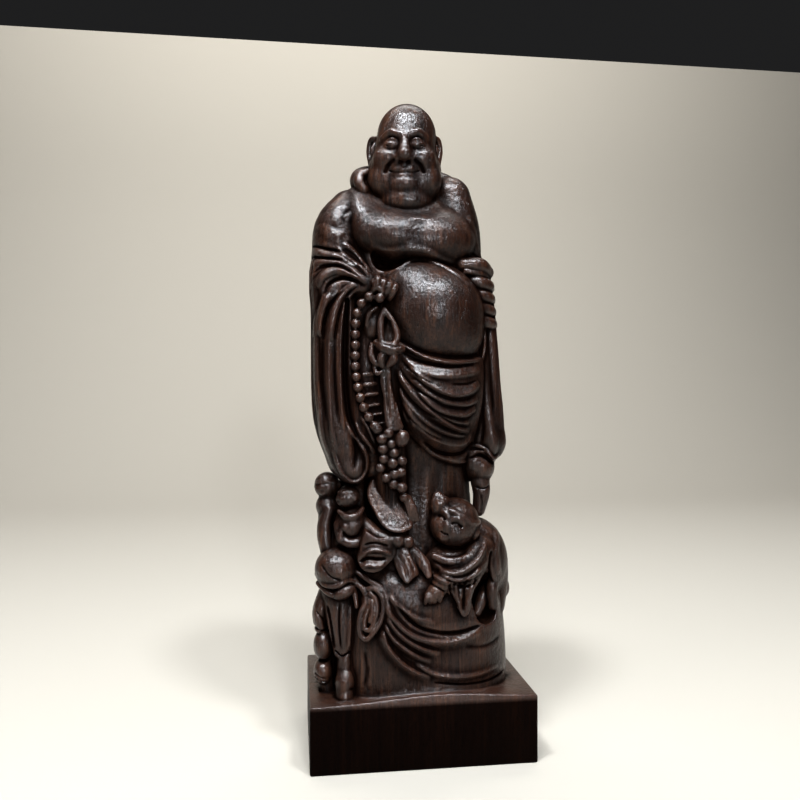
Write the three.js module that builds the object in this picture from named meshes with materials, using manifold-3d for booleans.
// A standing monk with prayer beads, his cloth sack and three boys, carved with their plinth from
// one block of dark wood. Millimetres, +Z up, front towards -Y, origin under the plinth's middle.

import * as THREE from "three";
import { mergeVertices } from "three/addons/utils/BufferGeometryUtils.js";
import Module from "manifold-3d";

const plinth = { width: 100, depth: 70, height: 29, edge: 0.8, swell: 3.2, swellAt: 9, swellReach: 34 };
const figure = { height: 271 };
const beads = { diameter: 4.4, pitch: 5.1, waist: 0.22, bulge: 0.58 };
const wood = { color: 0x3b2219, roughness: 0.42, metalness: 0 };

// The carving is drawn between these heights and scaled to the figure's own height.
const drawn = { foot: 29, crown: 300, sunk: 3 };
const grow = figure.height / (drawn.crown - drawn.foot);

const wasm = await Module();
wasm.setup();

const turned = (turn) => new THREE.Euler(...turn.map(THREE.MathUtils.degToRad));
const vector = (point) => new THREE.Vector3(...point);

// A three.js geometry as a solid.
function solid(geometry) {
  const bare = new THREE.BufferGeometry().setAttribute("position", geometry.getAttribute("position"));
  bare.setIndex(geometry.index);
  const merged = mergeVertices(bare, 1e-4);
  return new wasm.Manifold(
    new wasm.Mesh({
      numProp: 3,
      vertProperties: new Float32Array(merged.attributes.position.array),
      triVerts: new Uint32Array(merged.index.array),
    }),
  );
}

const join = (solids) => solids.reduce((whole, one) => whole.add(one));

function geometryOf(shape) {
  const mesh = shape.getMesh();
  return new THREE.BufferGeometry()
    .setAttribute("position", new THREE.BufferAttribute(mesh.vertProperties, 3))
    .setIndex(new THREE.BufferAttribute(mesh.triVerts, 1));
}

// A closed skin: a sphere's grid whose rows and sides are placed by the caller.
function skin(sides, rows, place) {
  const geometry = new THREE.SphereGeometry(1, sides, rows);
  const position = geometry.getAttribute("position");
  for (let row = 0; row <= rows; row++)
    for (let side = 0; side <= sides; side++) {
      const angle = (2 * Math.PI * (side % sides)) / sides;
      position.setXYZ(row * (sides + 1) + side, ...place(row, angle));
    }
  return solid(geometry);
}

// An ellipsoid: its centre, its half sizes and its turn in degrees. Larger ones get more facets, and so
// do those whose share is raised because they show most.
function ball(at, size, turn = [0, 0, 0], share = 1) {
  const sides = Math.max(5, Math.round(share * (1 + 1.75 * Math.sqrt(Math.max(...size)))));
  const geometry = new THREE.SphereGeometry(1, sides, Math.max(4, Math.round(sides * 0.48)));
  geometry.rotateX(Math.PI / 2);
  geometry.scale(...size);
  geometry.applyMatrix4(new THREE.Matrix4().makeRotationFromEuler(turned(turn)));
  geometry.translate(...at);
  return solid(geometry);
}

// A value at t, 0 to 1, along a list of values.
function along(values, t) {
  const at = t * (values.length - 1);
  const low = Math.min(values.length - 2, Math.floor(at));
  return THREE.MathUtils.lerp(values[low], values[low + 1], at - low);
}

// A limb, roll, ribbon or fold: a tapering skin along a curve. `wide` and `thick` are half sizes at the
// points, and `out` is the way its flat side faces. Its ends are rounded over by a smaller ring.
const tip = { inset: 0.25, size: 0.72 };

function limb(points, wide, shape = {}) {
  const { thick = wide, out = [0, -1, 0], steps = 2 * points.length - 2, sides } = shape;
  const curve = new THREE.CatmullRomCurve3(points.map(vector));
  const around = sides ?? Math.max(5, Math.round(3.6 + 0.38 * Math.max(...wide)));
  const rows = steps + 2;
  const rings = Array.from({ length: rows + 1 }, (_, row) => {
    const fromEnd = Math.min(row, rows - row);
    const first = row > 0 ? tip.inset : 0;
    const last = row < rows ? steps - tip.inset : steps;
    const t = THREE.MathUtils.clamp(row - 1, first, last) / steps;
    const size = [0, tip.size][fromEnd] ?? 1;
    const across = new THREE.Vector3().crossVectors(curve.getTangent(t), vector(out)).normalize();
    const up = new THREE.Vector3().crossVectors(curve.getTangent(t), across);
    return {
      centre: curve.getPoint(t),
      across: across.multiplyScalar(size * along(wide, t)),
      up: up.multiplyScalar(size * along(thick, t)),
    };
  });
  return skin(around, rows, (row, angle) => {
    const { centre, across, up } = rings[row];
    const place = centre.clone().addScaledVector(across, -Math.cos(angle));
    return place.addScaledVector(up, Math.sin(angle)).toArray();
  });
}

// A draped mass: level sections from the top down, each [z, x, y, half width, half depth], with folds
// that move the wall in and out by angle and height. A quarter turn is the front.
function drape(sections, { sides = 24, square = 2.3, ripple = () => 0 } = {}) {
  const rows = sections.length + 1;
  return skin(sides, rows, (row, angle) => {
    const level = THREE.MathUtils.clamp(row - 1, 0, sections.length - 1);
    const [z, x, y, halfWidth, halfDepth] = sections[level];
    if (row === 0 || row === rows) return [x, y, z];
    const c = Math.cos(angle);
    const s = Math.sin(angle);
    const round = (Math.abs(c) ** square + Math.abs(s) ** square) ** (-1 / square);
    const push = ripple(angle, z);
    return [x - c * (halfWidth * round + push), y - s * (halfDepth * round + push), z];
  });
}

// The front of a ball, or of a draped mass, at a place in the front view.
const frontOfBall = ({ at, size }) => ([x, z]) => {
  const out = 1 - ((x - at[0]) / size[0]) ** 2 - ((z - at[2]) / size[2]) ** 2;
  return [x, at[1] - size[1] * Math.sqrt(Math.max(0.04, out)), z];
};

const frontOfDrape = (sections, square = 2.3) => ([x, z]) => {
  const below = Math.max(1, sections.findIndex((section) => section[0] <= z));
  const [high, low] = [sections[below - 1], sections[below]];
  const t = THREE.MathUtils.clamp((high[0] - z) / (high[0] - low[0]), 0, 1);
  const [, middle, y, halfWidth, halfDepth] = high.map((value, k) => THREE.MathUtils.lerp(value, low[k], t));
  const side = Math.min(0.97, Math.abs(x - middle) / halfWidth);
  return [x, y - halfDepth * (1 - side ** square) ** (1 / square), z];
};

// A fold that sags from its start through its lowest part to its end in the front view, laid on a surface.
function fold(front, line, wide, count = 4) {
  const curve = new THREE.CatmullRomCurve3(line.map(([x, z]) => new THREE.Vector3(x, 0, z)));
  const laid = curve.getSpacedPoints(count).map((p) => front([p.x, p.z]));
  const radii = laid.map((_, i) => wide * (i % count === 0 ? 0.4 : 1));
  return limb(laid, radii, { steps: count, sides: 4 });
}

// A fan of folds between a first and a last line.
function fan(front, first, last, count, wide) {
  return Array.from({ length: count }, (_, i) => {
    const t = i / Math.max(1, count - 1);
    const line = first.map((p, k) => p.map((v, axis) => THREE.MathUtils.lerp(v, last[k][axis], t)));
    return fold(front, line, wide);
  });
}

// The plinth, whose front top edge is cut in a shallow wave that rises towards the sack's foot.
function plinthBlock() {
  const { width, depth, height, edge, swell, swellAt, swellReach } = plinth;
  const geometry = new THREE.BoxGeometry(width, depth, height, 10, 3, 1);
  geometry.translate(0, 0, height / 2);
  const position = geometry.getAttribute("position");
  for (let i = 0; i < position.count; i++) {
    const [x, y, z] = [position.getX(i), position.getY(i), position.getZ(i)];
    const top = z > height / 2;
    const wave = swell * Math.exp(-(((x - swellAt) / swellReach) ** 2)) * (0.5 - y / depth);
    const inset = top ? 1 - edge / width : 1;
    position.setXYZ(i, x * inset, y * inset, top ? height + wave : z);
  }
  return solid(geometry);
}

// The head, drawn about its own middle and then turned and set on the shoulders. Its double chin hides
// the neck.
const head = { at: [-4.8, -1.2, 277.2], turn: [4, 0, -8] };

function monkHead() {
  const pair = (make) => [make(-1), make(1)];
  const even = [0, 0, 0];
  const nose = [[0, -13.4, 4], [0, -16, -2.4], [0, -17.4, -7]];
  const upperLip = [[-6, -13.8, -11], [0, -16.4, -12], [6, -13.8, -11]];
  const lowerLip = [[-5, -13.8, -13.4], [0, -16, -14.4], [5, -13.8, -13.4]];
  const brow = (s) => [[s * 9.6, -9.8, 4.4], [s * 5.8, -12.8, 6.4], [s * 1.8, -14, 5.2]];
  const ear = (s) => [[s * 13.2, 3, 7], [s * 16.2, 5, 3.4], [s * 15.8, 3.6, -4], [s * 15.2, 1.5, -12]];
  const earShape = { thick: [1.2, 2, 1.8, 1.8], steps: 3 };
  const forms = [
    ball([1, 1.5, 7.2], [14, 16, 15.6], even, 1.2),
    ball([0, -4.6, 0], [13.2, 12, 12.5]),
    ball([0, -1.5, -9], [17.6, 14.2, 12.4], even, 1.2),
    ball([0.4, -4, -21], [14.6, 12.6, 10.6]),
    limb(nose, [1.5, 2, 3.6], { thick: [1.6, 2, 2.4], steps: 2 }),
    ball([0, -13.4, -17.4], [5.4, 4, 3.6]),
    limb(upperLip, [0.8, 1.2, 0.8], { steps: 3, sides: 4 }),
    limb(lowerLip, [0.8, 1.4, 0.8], { steps: 3, sides: 4 }),
    ...pair((s) => ball([s * 8.2, -10.2, -6.4], [6.6, 5.8, 6])),
    ...pair((s) => ball([s * 5.4, -14, 0.6], [3.7, 2.1, 2], [0, 0, s * 18])),
    ...pair((s) => limb(brow(s), [0.8, 1.2, 0.8], { steps: 2, sides: 4 })),
    ...pair((s) => limb(ear(s), [2, 3.8, 3.2, 2.2], { ...earShape, out: [s, 0, 0] })),
  ];
  const place = new THREE.Matrix4().makeRotationFromEuler(turned(head.turn)).setPosition(...head.at);
  return join(forms).transform(place.toArray());
}

// The shoulders, the bare chest and the belly.
function monkBody() {
  return join([
    ball([-6, 5, 252.6], [27, 13.5, 10]),
    ball([-11, -5, 236.4], [20.4, 15.4, 13.8], [0, 6, 0]),
    ball([9, -4.6, 235.8], [18, 14.8, 13.8], [0, -8, 0]),
    ball([-1, -6, 217], [18.6, 15.4, 9.6]),
    ball([7.6, -9, 200.4], [23.8, 24, 25.6], [0, 0, 0], 1.35),
  ]);
}

const robeSections = [
  [266, -6, 8.5, 16, 9],
  [255, -7, 6.5, 29, 16],
  [236, -6, 5.5, 32, 20],
  [214, -1, 5, 34, 22.5],
  [190, 1.5, 3, 32.5, 25.6],
  [170, 2, 2.5, 32, 28],
  [152, 2, 2.8, 30, 26.6],
  [130, 1, 5, 26.6, 21.8],
  [100, 1, 5, 28, 23],
  [62, 0, 5, 33, 26],
];
const lap = { at: [6.6, -5, 166], size: [24.6, 25.4, 28] };

// The robe from the shoulders to the sack, without its sleeves: pleats fan from the knot round the lap.
function robe() {
  const onLap = frontOfBall(lap);
  const onRobe = frontOfDrape(robeSections);
  const ripple = (angle, z) => {
    const behind = Math.max(0, -Math.sin(angle)) * THREE.MathUtils.clamp((240 - z) / 50, 0, 1);
    return 1.6 * behind * Math.cos(9 * angle);
  };
  return join([
    drape(robeSections, { sides: 18, square: 2.2, ripple }),
    ball(lap.at, lap.size),
    ...fan(onLap, [[-12, 184], [9, 177], [29, 179]], [[-12, 178], [10, 170], [29, 173]], 2, 1.5),
    ...fan(onLap, [[-10, 174], [16, 160], [30, 167]], [[-12, 166], [14, 144], [29, 150]], 3, 2.2),
    fold(onLap, [[-11, 146], [14, 134.6], [27, 143]], 2),
    fold(onRobe, [[3, 134], [1, 118], [0, 98]], 1.6),
  ]);
}

// The robe's collar, rolled back behind the neck.
function collar() {
  const points = [
    [-24.6, -5, 256],
    [-25.8, 2, 263],
    [-18.4, 14, 268.8],
    [-4.5, 17.5, 271],
    [9, 14.5, 268.6],
    [18.4, 4.4, 261.8],
    [17.8, -5, 254],
  ];
  return limb(points, [3, 5.2, 6, 6, 6, 5.4, 3], { out: [0, 0, 1], steps: 7 });
}

const beadSleeve = [
  [230, -36.5, -1, 10.5, 9.5],
  [217, -36.5, -5, 12.2, 15],
  [202, -37.4, -6.5, 10.4, 17],
  [182, -38.2, -6.5, 9.4, 17],
  [160, -38.2, -6.5, 9, 16.4],
  [146, -36.6, -8, 9.6, 15],
  [135, -33.8, -10, 9.2, 12],
  [127.5, -31.8, -11.5, 4.6, 6],
];

// The arm that holds the beads before the belt, and its long hanging sleeve, gathered at the wrist.
function beadArm() {
  const upperArm = [[-32.6, 5, 252], [-35, 3, 240], [-36.8, -4, 217]];
  const foreArm = [[-37, -5, 219], [-29, -16, 213.5], [-20, -22.5, 209.5]];
  const innerCloth = [[-23.6, -12, 205], [-24.6, -14, 175], [-23.2, -15, 146], [-22, -14, 131]];
  const underCloth = [[-13, -8, 202], [-14, -12, 176], [-13.4, -10.4, 124], [-12, -9, 70]];
  const gather = (i) => {
    return [[-46.6, -6, 229 - 6 * i], [-38, -19.5, 223.4 - 4.4 * i], [-22.5, -24, 214 - 2.6 * i]];
  };
  const ripple = (angle, z) => 0.9 * Math.cos(7 * angle + z / 40);
  const onSleeve = frontOfDrape(beadSleeve);
  const outerFold = [[-28, 211], [-42.6, 188], [-38.6, 134]];
  const innerFold = [[-27, 207], [-38.6, 180], [-34.4, 138]];
  return join([
    limb(upperArm, [9.6, 13.4, 10.5], { thick: [11, 15, 13], steps: 3 }),
    limb(foreArm, [10, 8, 5], { steps: 3 }),
    drape(beadSleeve, { sides: 13, square: 2.4, ripple }),
    limb(innerCloth, [8.4, 9, 9, 6.6], { steps: 4 }),
    limb(underCloth, [6, 8, 8.4, 9], { thick: [12, 13, 13.4, 14], steps: 3 }),
    ...[0, 1, 2].map((i) => limb(gather(i), [0.8, 2.3, 1.5], { steps: 3, sides: 4 })),
    ...fan(onSleeve, outerFold, innerFold, 2, 1.8),
  ]);
}

// The dark mouth of that sleeve, open along its inner front edge.
function sleeveMouth() {
  const points = [
    [-32.4, -26, 203],
    [-34, -26, 188],
    [-33.8, -25, 166],
    [-32, -24.6, 150],
    [-28.6, -24, 143],
  ];
  return limb(points, [1.6, 2.2, 2.3, 2, 1], { thick: [6, 8, 8, 7, 4], steps: 4 });
}

// A closed hand: a palm and four fingers side by side, curled over what it holds.
function fist(at, size, turn) {
  const finger = (i) => {
    const x = (i - 1.5) * 0.5 * size;
    const reach = size * (1 - 0.06 * Math.abs(i - 1.2));
    const knuckle = [x, 0, 0.62 * size];
    const bend = [[x, -0.78 * reach, 0.42 * size], [x, -0.8 * reach, -0.2 * size]];
    const fingertip = [x, -0.4 * reach, -0.6 * size];
    const radii = [0.27, 0.29, 0.28, 0.24].map((share) => share * size);
    return limb([knuckle, ...bend, fingertip], radii, { out: [1, 0, 0], steps: 3, sides: 4 });
  };
  const palm = ball([0, 0.1 * size, 0], [size, 0.62 * size, 0.72 * size]);
  const place = new THREE.Matrix4().makeRotationFromEuler(turned(turn)).setPosition(...at);
  return join([palm, ...[0, 1, 2, 3].map(finger)]).transform(place.toArray());
}

const restSleeve = [
  [228, 27, 2, 5.8, 9],
  [212, 29.4, 2, 7, 12],
  [188, 30.8, 1.5, 7.8, 13.5],
  [164, 32.2, 1.2, 8.2, 14],
  [148, 33.6, 0.8, 8.6, 14],
  [138, 34.8, 0, 8, 13],
  [132, 34.8, -1, 5.4, 9],
];
const fingers = { top: 214.6, step: 6.2, across: 24.8, slant: 0.7, radius: 3.3, taper: 0.16 };

// The other arm, whose cuff and stacked fingers show past the belly, its sleeve and the tassel below.
function restArm() {
  const finger = (i) => {
    const z = fingers.top - i * fingers.step;
    const x = fingers.across + i * fingers.slant;
    const radius = fingers.radius - i * fingers.taper;
    const bend = [[x, -10, z], [x + 7, -11.5, z - 0.4], [x + 11, -5, z - 1]];
    return limb(bend, [radius, radius, 0.84 * radius], { out: [0, 0, 1], steps: 2, sides: 4 });
  };
  const upperArm = [[17.6, 4, 257], [20.2, 3, 241], [24, 0, 224]];
  const cuff = [[21, -12, 223.4], [28.5, -12, 222], [33.6, -5, 220.6]];
  const tassel = [[30.4, -7.8, 122], [31, -8, 116], [29.6, -8, 108]];
  const ripple = (angle) => 0.7 * Math.cos(6 * angle);
  return join([
    limb(upperArm, [10.5, 12, 8.6], { thick: [12, 14.4, 9], steps: 3 }),
    drape(restSleeve, { sides: 11, square: 2.5, ripple }),
    limb(cuff, [3, 3.6, 3.4], { out: [0, 0, 1], steps: 3 }),
    ...[0, 1, 2, 3].map(finger),
    ball([30.4, -4, 128.4], [7.6, 9, 8.6]),
    limb(tassel, [4.4, 4, 2.6], { steps: 2 }),
    fold(frontOfDrape(restSleeve), [[31.4, 192], [33, 168], [34, 144]], 1.6),
  ]);
}

// Beads strung along a curve, as many as its length holds, joined where they meet.
function beadString(points) {
  const curve = new THREE.CatmullRomCurve3(points.map(vector));
  const steps = 2 * Math.round(curve.getLength() / beads.pitch);
  const spaced = curve.getSpacedPoints(steps).map((p) => p.toArray());
  const radii = spaced.map((_, i) => beads.diameter * (i % 2 ? beads.bulge : beads.waist));
  return limb(spaced, radii, { steps });
}

// The prayer beads in their hand, the bow of the belt and the sash ends that hang before the robe.
function trimmings() {
  const longBeads = [
    [-18, -25, 208.6],
    [-27, -24, 203.6],
    [-29.8, -21.6, 193],
    [-29.6, -20.8, 180],
    [-28.8, -21.4, 165],
    [-25.4, -23, 154],
    [-20.2, -24, 144.6],
    [-17.8, -24, 134],
    [-14.5, -23.6, 125],
    [-9.8, -22.4, 120.5],
  ];
  const shortBeads = [[-14, -25, 148], [-12.5, -24.4, 138], [-10.6, -23.8, 131], [-10, -22.6, 125.5]];
  const leftLoop = [
    [-15.4, -27, 183],
    [-21, -25, 191],
    [-19, -24, 199.4],
    [-15.4, -25.6, 192],
    [-14.8, -27.6, 184],
  ];
  const rightLoop = [
    [-13.4, -28, 183],
    [-14.4, -26, 190],
    [-12.6, -25, 195],
    [-10.4, -25.6, 189],
    [-11.6, -28, 183.5],
  ];
  const sash = [[-14.4, -25.6, 178], [-15, -25.2, 165], [-13, -24.8, 153], [-12.2, -24.4, 146]];
  const leaf = [[-19, -13, 127], [-18, -19, 119.6], [-12.6, -22.4, 109], [-10.4, -24.6, 102]];
  const sashEnd = [[-10.6, -22.4, 98], [-8.8, -25.4, 88], [-7.4, -28, 79.6]];
  return join([
    beadString(longBeads),
    beadString(shortBeads),
    ball([-9.6, -25.8, 143.4], [3.4, 3.4, 3.8]),
    fist([-17.6, -24.6, 209.4], 5.6, [10, 20, 8]),
    ball([-14.4, -26.6, 180.8], [4.8, 4, 4.4]),
    limb(leftLoop, [1.8, 2.4, 2, 1.8, 1.4], { steps: 5, sides: 4 }),
    limb(rightLoop, [1.4, 1.6, 1.5, 1.5, 1.3], { steps: 5, sides: 4 }),
    limb(sash, [3, 4.2, 5.4, 5.6], { thick: [2.4, 2.4, 2.4, 2.2], steps: 3 }),
    limb(leaf, [2.4, 5.2, 5.6, 4.4], { thick: [2.4, 2.6, 2.6, 2.4], steps: 3 }),
    ball([-9.8, -22.4, 98.4], [4, 3.6, 4]),
    limb(sashEnd, [2.8, 4.8, 1.2], { thick: [1.8, 2, 1.4], steps: 3 }),
  ]);
}

const sackSections = [
  [88, 2, -3, 20, 13],
  [82, 2, -2.5, 31, 22],
  [73, 1.8, -2, 37.5, 27.6],
  [62, 1.4, -1, 40, 30],
  [48, 1, -0.5, 41.4, 31],
  [drawn.foot - drawn.sunk, 1, -0.5, 41.4, 30.4],
];

// The sack that he and the boys stand on, tied at the left with a looped cord from which its folds fan.
function sack() {
  const crumple = (angle, z) => (Math.sin(angle) > 0 ? 0.3 : 1.1) * Math.cos(7 * angle - z / 9);
  const onSack = frontOfDrape(sackSections, 2.6);
  const loop = [
    [-26, -21, 81],
    [-28.4, -24.4, 71],
    [-27.4, -27, 61],
    [-23.6, -28.4, 57.4],
    [-20, -28.4, 63],
    [-20.6, -26.6, 73],
    [-24.4, -23, 81],
  ];
  return join([
    drape(sackSections, { sides: 18, square: 2.6, ripple: crumple }),
    ball([-4, -13, 75], [25, 16, 16]),
    limb(loop, loop.map(() => 1.5), { steps: 8, sides: 4 }),
    ball([-23.8, -25.6, 67], [2.4, 3.4, 7]),
    ...fan(onSack, [[-18, 74], [6, 57], [34, 57]], [[-18.6, 62], [-13, 51], [-5, 43]], 3, 2.2),
    fold(onSack, [[-4, 42], [18, 34.6], [40, 39.6]], 1.6),
  ]);
}

// The boy at the right, whose head and folded arms lie on the sack.
function restingBoy() {
  const tuft = [[11.4, -19, 107], [9, -22, 112.6], [7.9, -22, 117.6]];
  const foreArm = [[27, -18, 90], [21, -25.5, 84.6], [10, -29, 80], [3, -30.6, 73.4]];
  const collarRoll = [[5, -27.4, 90], [13, -29.4, 87.6], [21, -26.6, 89], [28, -20, 97]];
  const sleeveTip = [[25, -22, 86], [21, -27, 77], [17.4, -30, 68]];
  const leg = [[36.6, -12, 82], [36, -15, 71], [34, -17, 62]];
  return join([
    ball([15.8, -18.6, 103], [11.2, 11.6, 11.8]),
    limb(tuft, [6, 4.8, 2.2], { thick: [5, 3.4, 1.4], steps: 2 }),
    ball([6.8, -25.4, 101.6], [2, 2, 1.8]),
    ball([9.6, -26.2, 97], [4.2, 3.4, 3]),
    ball([27.4, -6.5, 83.6], [16, 18, 21]),
    ball([14, -17, 85], [13, 12.5, 10]),
    limb(foreArm, [8, 6.6, 5, 3.4], { steps: 4 }),
    limb(collarRoll, [1.6, 2.4, 2.4, 1.6], { steps: 4, sides: 4 }),
    limb(sleeveTip, [6.4, 4.4, 1.2], { steps: 3 }),
    limb(leg, [5.6, 4.6, 3], { steps: 2 }),
    ball([41.6, -3, 69.6], [3.6, 5, 5.4]),
  ]);
}

// The boy at the left front, seen from behind as he climbs on the sack.
function nearBoy() {
  const jacketHem = [[-39, -18, 96], [-33, -23, 96.4], [-25.4, -22.6, 103]];
  const sleeve = [[-26.4, -16, 104], [-19.6, -21, 98], [-25, -25.5, 91]];
  const belt = [[-42, -19, 77.4], [-37, -24, 74], [-30.6, -22, 77]];
  const trouserLeg = [[-36.4, -17, 74], [-35.6, -19, 62], [-34.8, -19.6, 48.6]];
  const shoe = [[-34.6, -19, 51], [-34.3, -20.6, 42], [-34.2, -22, 30]];
  return join([
    ball([-32.2, -14.4, 115.2], [5.6, 7.2, 5.8]),
    ball([-31.2, -13, 101.6], [9.2, 10.2, 10], [0, 24, 0]),
    limb(jacketHem, [1.8, 2.6, 1.8], { steps: 3, sides: 4 }),
    limb(sleeve, [5, 5.6, 3.6], { steps: 3 }),
    ball([-38, -17, 84.4], [9.6, 10.2, 9.2], [0, -14, 0]),
    limb(belt, [2, 3.6, 2], { steps: 3, sides: 4 }),
    limb(trouserLeg, [7.2, 6.6, 4.8], { steps: 3 }),
    limb(shoe, [3.6, 4, 4.4], { steps: 2 }),
  ]);
}

// The further boy, who looks past the sleeve and kneels at the sack's side.
function farBoy() {
  const arm = [[-40, -9, 110], [-44.4, -9.4, 103], [-42.4, -12, 90]];
  const leg = [[-41.6, -11, 73], [-44, -14, 61], [-43.8, -14.6, 49]];
  const foot = [[-43.4, -14.6, 50], [-43.2, -15, 41], [-42.4, -15, 31]];
  return join([
    ball([-41.4, -6, 119.6], [6, 7.6, 8.4], [0, 8, 0]),
    ball([-38.8, -1, 104], [6.6, 10, 13]),
    ball([-30, -1, 110], [9, 9, 16]),
    ball([-36, -3, 52], [10, 12, 32]),
    limb(arm, [3, 3.6, 3.4], { steps: 3 }),
    limb(leg, [3.8, 4.2, 4.2], { steps: 3 }),
    limb(foot, [3.6, 4, 4], { steps: 2 }),
  ]);
}

function carving() {
  const dressedMonk = join([monkBody(), robe(), collar(), beadArm(), restArm()]);
  const lowerForms = join([sack(), restingBoy(), nearBoy(), farBoy()]);
  return join([dressedMonk.subtract(sleeveMouth()), monkHead(), trimmings(), lowerForms]);
}

// The carving seated on the plinth: one block of wood.
function block() {
  const place = new THREE.Matrix4()
    .makeTranslation(0, 0, plinth.height)
    .multiply(new THREE.Matrix4().makeScale(grow, grow, grow))
    .multiply(new THREE.Matrix4().makeTranslation(0, 0, -drawn.foot));
  return plinthBlock().add(carving().transform(place.toArray()));
}

const statue = new THREE.Mesh(geometryOf(block()), new THREE.MeshStandardMaterial(wood));
statue.name = "budai_carving";

const part = new THREE.Group();
part.add(statue);

export default part;
